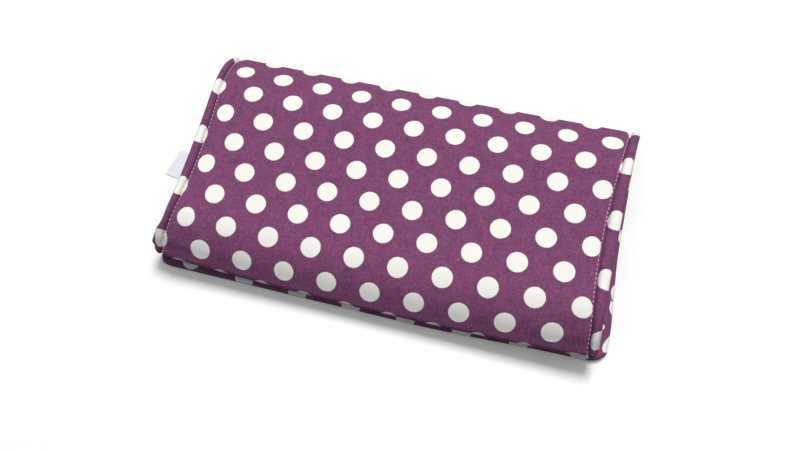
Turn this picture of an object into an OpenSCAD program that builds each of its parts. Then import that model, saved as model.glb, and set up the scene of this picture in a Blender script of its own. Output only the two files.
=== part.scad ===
// Long two-leaf cloth wallet, lying closed on its bottom leaf.
// X runs along the wallet, Y towards its folded edge and Z up, with the table at z = 0.
// The covers, padding and linings are bands that follow one outline drawn in the YZ plane.

/* [Leaves] */
// Length of the top leaf, end to end
top_len = 190; // [170:1:210]
// How far the bottom leaf shows past the top leaf at each end
bottom_show = 3; // [1:0.5:6]
// Height of the closed wallet over its middle
closed_h = 20; // [18:0.5:25]
// From the middle to the near edge of the top leaf
near_reach = 49.3; // [44:0.1:60]
// How far the bottom leaf shows past the near edge
near_show = 1.7; // [0.5:0.1:4]
// How far the two ends of the top leaf stand above its middle
end_rise = 4.1; // [0:0.1:5]
// Corner radius of the bottom leaf
corner_r = 5; // [2:0.5:9]
// Air between the two closed leaves
leaf_gap = 0.9; // [0.7:0.1:1.5]

/* [Outline of the section] */
// Where the flat middle ends and the slope to the folded edge starts
slope_start = 25; // [18:0.5:30]
// Radius of that slope
slope_r = 54; // [50:1:60]
// Angle that the slope has turned where the folded edge takes over
slope_angle = 32; // [30:0.5:34]
// Radius of the shoulder above the near edge
shoulder_r = 25; // [18:0.5:28]
// Angle that the shoulder turns
shoulder_angle = 42; // [36:0.5:46]
// Radius of the turned near edge
edge_r = 2.4; // [2.1:0.1:2.8]
// How far the cover runs back under the near edge
wrap_depth = 16; // [10:0.5:20]

/* [Cloth] */
// Thickness of the outer cotton with its interfacing
cover_t = 0.7; // [0.5:0.05:0.8]
// Thickness of the padding
fleece_t = 1.4; // [1:0.1:1.6]
// Thickness of the lining cotton
lining_t = 0.5; // [0.3:0.05:0.6]
// Thickness of the inside panel that faces the bottom leaf
panel_t = 0.7; // [0.5:0.05:0.9]
// How far the inside panel reaches past the middle
panel_far = 34; // [28:0.5:36]

/* [Hems] */
// Width of the rolled hem at each end of the top leaf and the spine
hem_w = 4.7; // [3.5:0.1:6]
// How far a rolled hem stands proud of the cover
hem_proud = 0.4; // [0.2:0.05:0.4]
// How deep a rolled hem goes below the cover's face
hem_depth = 1.6; // [1.2:0.1:1.8]
// Width of the bound edge at each end of the bottom leaf
bound_w = 4; // [3:0.1:6]

/* [Side label] */
// Width of the folded ribbon label along the end
label_w = 11; // [6:0.5:20]
// How far the label stands out of the hem
label_out = 6; // [3:0.5:10]
// Thickness of the folded ribbon
label_t = 0.8; // [0.4:0.1:1]
// From the middle of the wallet to the middle of the label, towards the near edge
label_back = 10; // [-10:0.5:20]

/* [Card and note pockets] */
// Thickness of one tier
tier_t = 0.4; // [0.3:0.05:0.4]
// Step between the top edges of the tiers
tier_step = 12; // [8:0.5:14]
// From the middle of the wallet to the top edge of the farthest tier
tier_far = 38; // [30:0.5:42]
// From the near edge of the bottom leaf to the foot of the tiers
tier_foot = 4; // [2:0.5:8]
// Thickness of the note pocket panel behind the tiers
note_t = 0.5; // [0.3:0.05:0.5]
// How far the note pocket reaches past the farthest tier
note_past = 6; // [3:0.5:8]

/* [Coin pouch] */
// Height of the room for coins
coin_room = 6.2; // [6.2:0.1:7]
// Thickness of the pouch cloth
pouch_t = 0.6; // [0.4:0.05:0.7]
// From the middle of the wallet to the mouth of the pouch
mouth_far = 27; // [22:0.5:28]
// How far the foot of the pouch reaches past the start of the shoulder
pouch_past = 8; // [4:0.5:9]
// Width of the pleated gusset beside the pouch
gusset_w = 6; // [4:0.5:10]
// Thickness of the gusset cloth
gusset_t = 0.5; // [0.3:0.05:0.6]
// Number of outward pleats in a gusset
pleats = 2; // [1:1:3]

/* [Zip] */
// Thickness of the zip tape
tape_t = 0.5; // [0.3:0.05:0.5]
// How deep each tape is sewn into the pouch
tape_seam = 8; // [5:0.5:12]
// Width of one row of teeth with its bead
row_w = 1.35; // [1.2:0.05:1.4]
// Depth of the gaps between teeth
tooth_deep = 0.8; // [0.5:0.05:1]
// Thickness of the teeth
tooth_t = 1.6; // [1.2:0.1:1.8]
// Pitch of the teeth
tooth_pitch = 2.5; // [2:0.1:4]
// Length of each end stop
stop_len = 2; // [1.5:0.1:3]
// From the end of the pouch to the end of the row of teeth
zip_inset = 4; // [2:0.5:8]
// Length of the slider
slider_len = 9; // [7:0.1:11]
// Width of the slider's front plate
slider_w = 6.4; // [6:0.1:7]
// Thickness of each slider plate
plate_t = 0.9; // [0.6:0.05:1]
// Length of the pull, from its pivot to its tip
pull_len = 10.5; // [9:0.1:11]
// Width of the pull
pull_w = 4.6; // [4.4:0.1:5]
// Thickness of the pull
pull_t = 1; // [0.8:0.05:1]

/* [Magnets] */
// Radius of each closing magnet
magnet_r = 5; // [4:0.1:5]

/* [Hidden] */

// Running clearance between pieces that move past each other
run_gap = 0.25;
// Gap across each of the two fold lines
fold_gap = 0.3;
// Fit of a piece in its seat
fit_gap = 0.1;
// Overrun of every cutting shape
over = 1;
// Points along each curve of the section
arc_steps = 12;
// Facets of full rounds
$fn = 48;

shell_t = cover_t + fleece_t + lining_t;
fleece_at = cover_t;
lining_at = cover_t + fleece_t;

bottom_half = top_len / 2 + bottom_show;
bottom_near = near_reach + near_show;
tier_count = 4;
stack_h = shell_t + note_t + tier_count * tier_t;
leaf_z = stack_h + leaf_gap;

// The folded edge rolls from the table up to the slope
fold_r = (closed_h - slope_r * (1 - cos(slope_angle))) / (1 + cos(slope_angle));
fold_y = slope_start + (slope_r - fold_r) * sin(slope_angle);
fold_low_angle = -45;
slope_z = closed_h - slope_r;

// The upper fold line lies on the slope where the opened leaf comes down flat on the table
reach_share = ((slope_r - fold_r) * sin(slope_angle) + fold_r) / slope_r;
hinge_turn = 45 + asin((reach_share - 1) / sqrt(2));
low_half_gap = fold_gap / 2 / fold_r * 180 / PI;
high_half_gap = fold_gap / 2 / slope_r * 180 / PI;

// The near edge hangs from the shoulder by a short straight
edge_y = -(near_reach - edge_r);
edge_z = leaf_z + edge_r;
drop_z = closed_h - shoulder_r * (1 - cos(shoulder_angle)) - edge_r * cos(shoulder_angle) - edge_z;
straight_len = drop_z / sin(shoulder_angle);
shoulder_y = edge_y + shoulder_r * sin(shoulder_angle) + straight_len * cos(shoulder_angle)
    - edge_r * sin(shoulder_angle);
shoulder_z = closed_h - shoulder_r;
wrap_end_y = -near_reach + wrap_depth;

top_half = top_len / 2;
body_half = top_half - hem_w;

// The top leaf rises towards its ends. Its sections stand at these shares of its half length.
station_shares = [0.12, 0.35, 0.55, 0.75, 1];
level_share = station_shares[0];
// Share of the rise that the turned near edge keeps
near_rise_share = 0.9;
rise_table = [for (s = station_shares)
    [s * top_half, end_rise * (s * s - level_share * level_share) / (1 - level_share * level_share)]];
inner_stations = [for (s = station_shares) if (s * top_half < body_half) s * top_half];
body_stations = concat([-body_half], -1 * reversed(inner_stations), inner_stations, [body_half]);
seam_y = slope_start + slope_r * sin(hinge_turn - high_half_gap);
straight_top_z = closed_h - shoulder_r * (1 - cos(shoulder_angle));

// Height of the rooms inside the top leaf
room_low = leaf_z + panel_t;
room_high = closed_h - shell_t;
note_room = (room_high - room_low - coin_room - 2 * pouch_t) / 2;
pouch_low = room_low + note_room;
pouch_high = room_high - note_room;
zip_z = (pouch_low + pouch_high) / 2;
pouch_half = body_half - gusset_w;
pouch_near_y = shoulder_y - pouch_past;
magnet_y = pouch_near_y - run_gap - magnet_r;

// Front face of the teeth, then of the slider's plate, and the pull's pivot
tooth_y = mouth_far + tape_t / 2;
plate_y = tooth_y + tooth_t / 2 + run_gap;
back_plate_y = tooth_y - tooth_t / 2 - run_gap - plate_t;
pivot_room = pull_t + 2 * run_gap;
pivot_y = plate_y + plate_t + pivot_room / 2;
chain_half = pouch_half - zip_inset;
slider_x = chain_half - stop_len - run_gap - slider_len / 2;
slit = 0.35;
row_out = slit + row_w;
web_t = 0.3;
bridge_len = 6.2;
bridge_w = 1.5;
bridge_t = 0.8;
arm_gap = 0.4;
pin_r = 0.5;
window_len = 3.7;

outer_cloth = [0.50, 0.29, 0.46];
inner_cloth = [0.42, 0.24, 0.38];
padding = [0.93, 0.92, 0.88];
ribbon = [0.93, 0.91, 0.92];
tape_cloth = [0.36, 0.20, 0.33];
bright_metal = [0.78, 0.77, 0.74];
teeth_tone = [0.62, 0.56, 0.60];

// Points along an arc of the section, as [y, z]
function arc_points(centre, r, from, to) =
    [for (i = [0:arc_steps]) let (a = from + (to - from) * i / arc_steps)
        [centre[0] + r * cos(a), centre[1] + r * sin(a)]];

function reversed(points) = [for (i = [len(points) - 1:-1:0]) points[i]];

// The bottom leaf's line at depth d, from its near edge to the lower fold line
function bottom_line(d) = concat(
    [[-bottom_near, d]],
    arc_points([fold_y, fold_r], fold_r - d, -90, fold_low_angle - low_half_gap)
);

// The spine's line at depth d, from the lower to the upper fold line
function spine_line(d) = concat(
    arc_points([fold_y, fold_r], fold_r - d, fold_low_angle + low_half_gap, 90 - slope_angle),
    arc_points([slope_start, slope_z], slope_r - d, 90 - slope_angle, 90 - hinge_turn - high_half_gap)
);

// The top leaf's line at depth d, from the upper fold line over to the end of the shoulder
function top_line(d) = concat(
    arc_points([slope_start, slope_z], slope_r - d, 90 - hinge_turn + high_half_gap, 90),
    arc_points([shoulder_y, shoulder_z], shoulder_r - d, 90, 90 + shoulder_angle)
);

// The same line carried on round the near edge and back under the leaf
function wrapped_line(d, back_y) = concat(
    top_line(d),
    arc_points([edge_y, edge_z], edge_r - d, 90 + shoulder_angle, 270),
    [[back_y, edge_z - edge_r + d]]
);

function rise_at(x) = lookup(abs(x), rise_table);
function within_one(value) = max(0, min(1, value));

// Share of the rise that a point [y, z] takes: none at the fold line, and little on the leaf's underside
function rise_share(p) = within_one((seam_y - p[0]) / (seam_y - slope_start)) * max(
    within_one((p[1] - leaf_z) / (straight_top_z - leaf_z)),
    near_rise_share * within_one((wrap_end_y - p[0]) / (wrap_end_y - edge_y))
);

function raised(line, x) = [for (p = line) [x, p[0], p[1] + rise_at(x) * rise_share(p)]];

// A band of the top leaf between an outer and an inner line, raised at each of its stations along X
module raised_band(outer_line, inner_line, stations) {
    count = len(outer_line);
    last = len(stations) - 1;
    end = count - 1;
    function outer(s, i) = 2 * count * s + i;
    function inner(s, i) = 2 * count * s + count + i;
    skins = [for (s = [0:last - 1], i = [0:end - 1]) each [
        [outer(s, i), outer(s + 1, i), outer(s + 1, i + 1)],
        [outer(s, i), outer(s + 1, i + 1), outer(s, i + 1)],
        [inner(s, i), inner(s + 1, i + 1), inner(s + 1, i)],
        [inner(s, i), inner(s, i + 1), inner(s + 1, i + 1)]
    ]];
    rims = [for (s = [0:last - 1]) each [
        [outer(s, 0), inner(s, 0), inner(s + 1, 0)],
        [outer(s, 0), inner(s + 1, 0), outer(s + 1, 0)],
        [outer(s + 1, end), inner(s + 1, end), inner(s, end)],
        [outer(s + 1, end), inner(s, end), outer(s, end)]
    ]];
    caps = [for (i = [0:end - 1]) each [
        [outer(0, i), outer(0, i + 1), inner(0, i + 1)],
        [outer(0, i), inner(0, i + 1), inner(0, i)],
        [outer(last, i), inner(last, i + 1), outer(last, i + 1)],
        [outer(last, i), inner(last, i), inner(last, i + 1)]
    ]];
    polyhedron(
        [for (x = stations) each concat(raised(outer_line, x), raised(inner_line, x))],
        concat(skins, rims, caps)
    );
}

// A band of the section between an outer and an inner line
module band(outer_line, inner_line) {
    polygon(concat(outer_line, reversed(inner_line)));
}

// Carries a YZ section along X, from one place to another
module along_x(from, to) {
    translate([from, 0, 0])
        rotate([90, 0, 90])
            linear_extrude(to - from)
                children();
}

// Plan of the bottom leaf, with its two near corners rounded
module bottom_plan(half) {
    far_y = fold_y + fold_r;
    translate([-half, -bottom_near + corner_r])
        square([2 * half, far_y + bottom_near - corner_r]);
    translate([-half + corner_r, -bottom_near])
        square([2 * (half - corner_r), corner_r + over]);
    for (side = [-1, 1])
        translate([side * (half - corner_r), -bottom_near + corner_r])
            circle(r = corner_r);
}

// A layer of the bottom leaf between two depths, from one x to another
module bottom_layer(depth, thick, from, to) {
    intersection() {
        along_x(from, to)
            band(bottom_line(depth), bottom_line(depth + thick));
        translate([0, 0, -over])
            linear_extrude(fold_r + 2 * over)
                bottom_plan(bottom_half);
    }
}

module spine_layer(depth, thick, from, to) {
    along_x(from, to)
        band(spine_line(depth), spine_line(depth + thick));
}

module top_layer(depth, thick) {
    raised_band(top_line(depth), top_line(depth + thick), body_stations);
}

// A flat sheet given by its near and far edge, its height and half its length
module sheet(half, near_y, far_y, low, thick) {
    translate([-half, near_y, low])
        cube([2 * half, far_y - near_y, thick]);
}

// Bottom leaf

module bottom_cover() {
    color(outer_cloth)
        bottom_layer(0, cover_t, -bottom_half + bound_w, bottom_half - bound_w);
}

module bottom_fleece() {
    color(padding)
        difference() {
            bottom_layer(fleece_at, fleece_t, -bottom_half + bound_w, bottom_half - bound_w);
            translate([0, magnet_y, fleece_at - over])
                cylinder(r = magnet_r + fit_gap, h = fleece_t + 2 * over);
        }
}

module bottom_lining() {
    color(inner_cloth)
        bottom_layer(lining_at, lining_t, -bottom_half + bound_w, bottom_half - bound_w);
}

module bottom_bound_left() {
    color(inner_cloth)
        bottom_layer(0, shell_t + hem_proud, -bottom_half, -bottom_half + bound_w);
}

module bottom_bound_right() {
    color(inner_cloth)
        bottom_layer(0, shell_t + hem_proud, bottom_half - bound_w, bottom_half);
}

pocket_half = bottom_half - bound_w - fold_gap;
foot_y = -bottom_near + tier_foot;

module note_pocket() {
    color(inner_cloth)
        sheet(pocket_half, foot_y, tier_far + note_past, shell_t, note_t);
}

// Tier 1 is the front one: the lowest top edge, on top of the others
module card_tier(number) {
    behind = tier_count - number;
    far_y = tier_far - tier_step * behind;
    color(number % 2 == 0 ? outer_cloth : inner_cloth)
        sheet(pocket_half, foot_y, far_y, shell_t + note_t + tier_t * behind, tier_t);
}

module card_tier_1() {
    card_tier(1);
}

module card_tier_2() {
    card_tier(2);
}

module card_tier_3() {
    card_tier(3);
}

module card_tier_4() {
    card_tier(4);
}

module magnet_lower() {
    color(bright_metal)
        translate([0, magnet_y, fleece_at])
            cylinder(r = magnet_r, h = fleece_t);
}

// Spine

module spine_cover() {
    color(outer_cloth)
        spine_layer(0, cover_t, -body_half, body_half);
}

module spine_fleece() {
    color(padding)
        spine_layer(fleece_at, fleece_t, -body_half, body_half);
}

module spine_lining() {
    color(inner_cloth)
        spine_layer(lining_at, lining_t, -body_half, body_half);
}

module spine_hem_left() {
    color(outer_cloth)
        spine_layer(0, hem_depth, -top_half, -body_half);
}

module spine_hem_right() {
    color(outer_cloth)
        spine_layer(0, hem_depth, body_half, top_half);
}

// Top leaf

module top_cover() {
    color(outer_cloth)
        raised_band(wrapped_line(0, wrap_end_y), wrapped_line(cover_t, wrap_end_y), body_stations);
}

module top_fleece() {
    color(padding)
        top_layer(fleece_at, fleece_t);
}

module top_lining() {
    color(inner_cloth)
        top_layer(lining_at, lining_t);
}

module rolled_hem(from, to) {
    color(outer_cloth)
        raised_band(wrapped_line(-hem_proud, wrap_end_y), wrapped_line(hem_depth, wrap_end_y), [from, to]);
}

module top_hem_left() {
    rolled_hem(-top_half, -body_half);
}

module top_hem_right() {
    rolled_hem(body_half, top_half);
}

// The ribbon lies against the underside of the raised hem and stands out level from it
module side_label() {
    under_z = closed_h - hem_depth;
    inner_z = under_z + rise_at(body_half);
    out_z = under_z + rise_at(top_half);
    out_x = top_half + label_out;
    color(ribbon)
        translate([0, -label_back + label_w / 2, 0])
            rotate([90, 0, 0])
                linear_extrude(label_w)
                    polygon([
                        [-body_half, inner_z],
                        [-top_half, out_z],
                        [-out_x, out_z],
                        [-out_x, out_z - label_t],
                        [-top_half, out_z - label_t],
                        [-body_half, inner_z - label_t]
                    ]);
}

module inner_panel() {
    color(inner_cloth)
        sheet(top_half, wrap_end_y, panel_far, leaf_z, panel_t);
}

// A pleated strip that joins the inside panel, the pouch and the lining at one end
module gusset(side) {
    folds = 2 * pleats;
    climb = (room_high - room_low) / folds;
    inner = pouch_half + fit_gap;
    slant_t = gusset_t * norm([gusset_w, climb]) / climb;
    function fold_z(i, x) = room_low + (climb + rise_at(x) / folds) * i;
    line = [for (i = [0:folds]) let (x = i % 2 == 0 ? body_half - slant_t : inner) [x, fold_z(i, x)]];
    shifted = [for (i = [0:folds]) let (x = line[i][0] + slant_t) [x, fold_z(i, x)]];
    color(inner_cloth)
        translate([0, slope_start, 0])
            rotate([90, 0, 0])
                linear_extrude(slope_start - shoulder_y)
                    scale([side, 1])
                        polygon(concat(line, reversed(shifted)));
}

module gusset_left() {
    gusset(-1);
}

module gusset_right() {
    gusset(1);
}

// A flat bag, open at its mouth towards the fold
module coin_pouch() {
    color(inner_cloth)
        difference() {
            sheet(pouch_half, pouch_near_y, mouth_far, pouch_low, pouch_high - pouch_low);
            sheet(pouch_half - pouch_t, pouch_near_y + pouch_t, mouth_far + over,
                pouch_low + pouch_t, coin_room);
        }
}

module magnet_upper() {
    color(bright_metal)
        translate([0, magnet_y, leaf_z + cover_t])
            cylinder(r = magnet_r, h = fleece_t);
}

// Zip across the mouth of the pouch

// One tape: a leg sewn inside the pouch and a face turned in to its row of teeth
module zip_tape(side) {
    out_z = coin_room / 2;
    color(tape_cloth)
        along_x(-pouch_half + pouch_t, pouch_half - pouch_t)
            translate([0, zip_z])
                polygon([
                    [mouth_far - tape_seam, side * out_z],
                    [mouth_far + tape_t, side * out_z],
                    [mouth_far + tape_t, side * row_out],
                    [mouth_far, side * row_out],
                    [mouth_far, side * (out_z - tape_t)],
                    [mouth_far - tape_seam, side * (out_z - tape_t)]
                ]);
}

module zip_tape_upper() {
    zip_tape(1);
}

module zip_tape_lower() {
    zip_tape(-1);
}

// One row of teeth on its bead, as a comb that faces the other row across the slit
module zip_row(side) {
    teeth = floor((2 * chain_half - 2 * stop_len) / tooth_pitch);
    start = -teeth * tooth_pitch / 2;
    root = slit + tooth_deep;
    comb = [for (i = [0:teeth - 1]) each [
        [start + tooth_pitch * i, root],
        [start + tooth_pitch * i, slit],
        [start + tooth_pitch * (i + 0.5), slit],
        [start + tooth_pitch * (i + 0.5), root]
    ]];
    color(teeth_tone)
        translate([0, tooth_y + tooth_t / 2, zip_z])
            rotate([90, 0, 0])
                linear_extrude(tooth_t)
                    scale([1, side])
                        polygon(concat(comb, [[-start, root], [-start, row_out], [start, row_out]]));
}

module zip_teeth_upper() {
    zip_row(1);
}

module zip_teeth_lower() {
    zip_row(-1);
}

// A block across both rows at each end of the chain
module zip_stops() {
    color(bright_metal)
        for (side = [-1, 1])
            translate([side * (chain_half - stop_len / 2), tooth_y, zip_z])
                cube([stop_len, tooth_t, 2 * row_out], center = true);
}

// Two plates joined by a web that runs in the slit, with lips round the rows and a bridge
module zip_slider() {
    lip_low = mouth_far + tape_t + run_gap;
    lip_in = row_out + run_gap;
    back_half = coin_room / 2 - tape_t - run_gap;
    bridge_top = plate_y + plate_t + pivot_room + bridge_t;
    color(bright_metal)
        translate([slider_x, 0, zip_z]) {
            translate([-slider_len / 2, plate_y, -slider_w / 2])
                cube([slider_len, plate_t, slider_w]);
            translate([-slider_len / 2, back_plate_y, -back_half])
                cube([slider_len, plate_t, 2 * back_half]);
            translate([-slider_len / 6, back_plate_y, -web_t / 2])
                cube([slider_len / 3, plate_y - back_plate_y + plate_t, web_t]);
            for (side = [-1, 1])
                translate([-slider_len / 2, lip_low, side > 0 ? lip_in : -slider_w / 2])
                    cube([slider_len, plate_y - lip_low + plate_t / 2, slider_w / 2 - lip_in]);
            difference() {
                translate([-bridge_len / 2, plate_y + plate_t / 2, -bridge_w / 2])
                    cube([bridge_len, bridge_top - plate_y - plate_t / 2, bridge_w]);
                translate([-bridge_len / 2 + bridge_t, plate_y + plate_t, -bridge_w / 2 - over])
                    cube([bridge_len - 2 * bridge_t, pivot_room, bridge_w + 2 * over]);
            }
        }
}

// A tab whose window takes the bridge, swinging on a pin under it
module zip_pull() {
    arm_in = bridge_w / 2 + arm_gap;
    tip_r = pull_w / 2;
    color(bright_metal)
        translate([slider_x, pivot_y, zip_z]) {
            cylinder(r = pin_r, h = pull_w, center = true);
            for (side = [-1, 1])
                translate([-window_len, -pull_t / 2, side > 0 ? arm_in : -pull_w / 2])
                    cube([window_len, pull_t, pull_w / 2 - arm_in]);
            translate([-pull_len + tip_r, -pull_t / 2, -pull_w / 2])
                cube([pull_len - tip_r - window_len, pull_t, pull_w]);
            translate([-pull_len + tip_r, pull_t / 2, 0])
                rotate([90, 0, 0])
                    cylinder(r = tip_r, h = pull_t);
        }
}

bottom_cover();
bottom_fleece();
bottom_lining();
bottom_bound_left();
bottom_bound_right();
note_pocket();
card_tier_1();
card_tier_2();
card_tier_3();
card_tier_4();
magnet_lower();
spine_cover();
spine_fleece();
spine_lining();
spine_hem_left();
spine_hem_right();
top_cover();
top_fleece();
top_lining();
top_hem_left();
top_hem_right();
side_label();
inner_panel();
gusset_left();
gusset_right();
coin_pouch();
magnet_upper();
zip_tape_upper();
zip_tape_lower();
zip_teeth_upper();
zip_teeth_lower();
zip_stops();
zip_slider();
zip_pull();
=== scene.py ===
import math
import bpy
import numpy as np
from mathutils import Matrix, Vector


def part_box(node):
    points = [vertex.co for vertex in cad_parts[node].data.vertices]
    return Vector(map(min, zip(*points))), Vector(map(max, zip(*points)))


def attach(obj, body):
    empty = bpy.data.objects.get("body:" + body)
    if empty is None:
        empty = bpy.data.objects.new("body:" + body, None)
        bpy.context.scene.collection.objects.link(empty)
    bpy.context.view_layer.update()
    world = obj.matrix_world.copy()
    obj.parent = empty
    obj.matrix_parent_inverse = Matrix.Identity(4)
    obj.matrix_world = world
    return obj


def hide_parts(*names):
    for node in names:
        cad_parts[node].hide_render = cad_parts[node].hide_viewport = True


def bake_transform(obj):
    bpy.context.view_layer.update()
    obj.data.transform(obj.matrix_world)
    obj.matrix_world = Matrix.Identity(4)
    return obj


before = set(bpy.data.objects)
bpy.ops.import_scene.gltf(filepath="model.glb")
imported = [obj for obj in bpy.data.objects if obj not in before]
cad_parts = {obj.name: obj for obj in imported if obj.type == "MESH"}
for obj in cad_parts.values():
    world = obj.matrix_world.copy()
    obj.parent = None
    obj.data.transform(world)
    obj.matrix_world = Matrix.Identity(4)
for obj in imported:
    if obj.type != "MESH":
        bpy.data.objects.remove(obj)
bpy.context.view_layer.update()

mm = 0.001


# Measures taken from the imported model


def lowOf(node):
    return np.array(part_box(node)[0])


def highOf(node):
    return np.array(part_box(node)[1])


hemBulge = 0.4 * mm
topHalf = highOf("top_hem_right")[0]
bodyHalf = highOf("top_cover")[0]
bottomHalf = highOf("bottom_bound_right")[0]
shellThick = lowOf("note_pocket")[2]
panelTop = highOf("inner_panel")[2]
roomHigh = highOf("coin_pouch")[2] + lowOf("coin_pouch")[2] - panelTop
closedHeight = roomHigh + shellThick
endRise = highOf("top_hem_right")[2] - closedHeight - hemBulge
leafHeight = lowOf("inner_panel")[2]
nearReach = -lowOf("top_cover")[1]
bottomNear = -lowOf("bottom_cover")[1]
wrapEnd = lowOf("inner_panel")[1]

# The outline of the closed wallet in the YZ plane, lengths in metres and angles in degrees
section = dict(
    slopeStart=25 * mm,
    slopeRadius=54 * mm,
    slopeAngle=32,
    shoulderRadius=25 * mm,
    shoulderAngle=42,
    edgeRadius=2.4 * mm,
    bottomEdgeRadius=1.3 * mm,
    seamAngle=6.5,
    step=0.64 * mm,
)

# How the soft leaves leave the plain outline. A zone is where a change sets in and where it is complete.
# A corner is where it begins, how far it reaches and its radius.
soft = dict(
    rise=endRise,
    leafShare=0.15,
    nearShare=0.9,
    bulgeHeight=14 * mm,
    foldZone=(30 * mm, 50 * mm),
    foldPull=-0.2 * mm,
    foldBow=0.5 * mm,
    foldCorner=(88 * mm, 9 * mm, 2 * mm),
    topZone=(-30 * mm, -43 * mm),
    topEdgeOut=0.5 * mm,
    topEdgeBow=1.4 * mm,
    topLeft=(92.4 * mm, 5.2 * mm, 4.5 * mm),
    topRight=(91.5 * mm, 5.2 * mm, 4.5 * mm),
    bottomZone=(-25 * mm, -47 * mm),
    bottomEdgeIn=1.2 * mm,
    bottomEdgeBow=2.3 * mm,
    bottomBowZone=(20 * mm, 90 * mm),
    bottomLeft=(92 * mm, 6.7 * mm, 4 * mm),
    bottomRight=(91 * mm, 9.3 * mm, 6.2 * mm),
)

layers = dict(
    coverThick=0.45 * mm,
    fleeceDepth=0.75 * mm,
    fleeceThick=1.3 * mm,
    liningDepth=2.1 * mm,
    liningThick=0.5 * mm,
    # how far the padding stays inside the stitches and the lining goes under the hems
    fleeceIn=2.4 * mm,
    fleeceInBound=0.6 * mm,
    liningOut=1 * mm,
    liningOutBound=0.4 * mm,
    lowerFleeceUp=0.2 * mm,
    columns=61,
    rimFrom=0.985,
    rimReach=0.02,
)


# Outlines: runs of points with their outward normals


def arcRun(centre, radius, start, stop, step=section["step"]):
    # centre + radius * (cos a, sin a) for angles a from start to stop
    count = max(4, int(abs(math.radians(stop - start)) * radius / step) + 2)
    angle = np.radians(np.linspace(start, stop, count))
    normal = np.stack([np.cos(angle), np.sin(angle)], 1)
    return np.array(centre) + radius * normal, normal


def straightRun(begin, end, step=section["step"]):
    # begin + share * (end - begin); the normal is the way turned a quarter to the right
    begin, end = np.array(begin, float), np.array(end, float)
    way = end - begin
    length = np.linalg.norm(way)
    share = np.linspace(0, 1, max(2, int(length / step) + 2))[:, None]
    normal = np.array([way[1], -way[0]]) / length
    return begin + share * way, np.repeat(normal[None], len(share), 0)


def joinRuns(runs):
    # one line: its points, its normals, and the cloth's length along it, which falls from 0
    points = np.concatenate([runs[0][0]] + [run[0][1:] for run in runs[1:]])
    normals = np.concatenate([runs[0][1]] + [run[1][1:] for run in runs[1:]])
    steps = np.linalg.norm(np.diff(points, axis=0), axis=1)
    along = 0 - np.concatenate([[0], np.cumsum(steps)])
    return dict(points=points, normals=normals, along=along)


def cutLine(line, keep):
    return {key: value[keep] for key, value in line.items()}


slopeTurn = math.radians(section["slopeAngle"])
foldRadius = (closedHeight - section["slopeRadius"] * (1 - math.cos(slopeTurn))) / (1 + math.cos(slopeTurn))
foldCentre = (
    section["slopeStart"] + (section["slopeRadius"] - foldRadius) * math.sin(slopeTurn),
    foldRadius,
)
slopeCentre = (section["slopeStart"], closedHeight - section["slopeRadius"])
shoulderTurn = math.radians(section["shoulderAngle"])
edgeCentre = (-nearReach + section["edgeRadius"], leafHeight + section["edgeRadius"])
shoulderDrop = (
    closedHeight
    - section["shoulderRadius"] * (1 - math.cos(shoulderTurn))
    - section["edgeRadius"] * math.cos(shoulderTurn)
    - edgeCentre[1]
)
shoulderCentre = (
    edgeCentre[0]
    + (section["shoulderRadius"] - section["edgeRadius"]) * math.sin(shoulderTurn)
    + shoulderDrop / math.tan(shoulderTurn),
    closedHeight - section["shoulderRadius"],
)


def topLine():
    # from the middle of the spine over the slope, the top and the shoulder, and back under the near edge
    slope = arcRun(slopeCentre, section["slopeRadius"], 90 - section["slopeAngle"], 90)
    shoulder = arcRun(shoulderCentre, section["shoulderRadius"], 90, 90 + section["shoulderAngle"])
    edge = arcRun(edgeCentre, section["edgeRadius"], 90 + section["shoulderAngle"], 270, 0.4 * mm)
    line = joinRuns([
        arcRun(foldCentre, foldRadius, section["seamAngle"], 90 - section["slopeAngle"]),
        slope,
        straightRun(slope[0][-1], shoulder[0][0]),
        shoulder,
        straightRun(shoulder[0][-1], edge[0][0]),
        edge,
        straightRun(edge[0][-1], (wrapEnd, leafHeight)),
    ])
    onTop = line["points"][:, 1] > closedHeight - 0.01 * mm
    middle = np.interp(0, line["points"][onTop][::-1, 0], line["along"][onTop][::-1])
    line["along"] = line["along"] - middle
    return line


def bottomLine(origin):
    # from the near edge of the bottom leaf along the table and round the fold to the middle of the spine
    radius = section["bottomEdgeRadius"]
    line = joinRuns([
        arcRun((-bottomNear + radius, radius), radius, 180, 270, 0.3 * mm),
        straightRun((-bottomNear + radius, 0), (foldCentre[0], 0)),
        arcRun(foldCentre, foldRadius, -90, section["seamAngle"]),
    ])
    line["along"] = line["along"] - line["along"][-1] + origin
    return line


top = topLine()
bottom = bottomLine(top["along"][0])
print("outline:", len(top["along"]), "and", len(bottom["along"]), "points")


# Soft shape


def smooth(start, stop, value):
    # s * s * (3 - 2 * s), where s grows from 0 at start to 1 at stop
    share = np.clip((value - start) / (stop - start), 0, 1)
    return share * share * (3 - 2 * share)


def cornerPull(x, start, reach, radius):
    # radius * (1 - sqrt(1 - c * c)), where c grows from 0 at start to 1 at start + reach
    share = np.clip((np.abs(x) - start) / reach, 0, 0.985)
    return radius * (1 - np.sqrt(1 - share * share))


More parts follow.
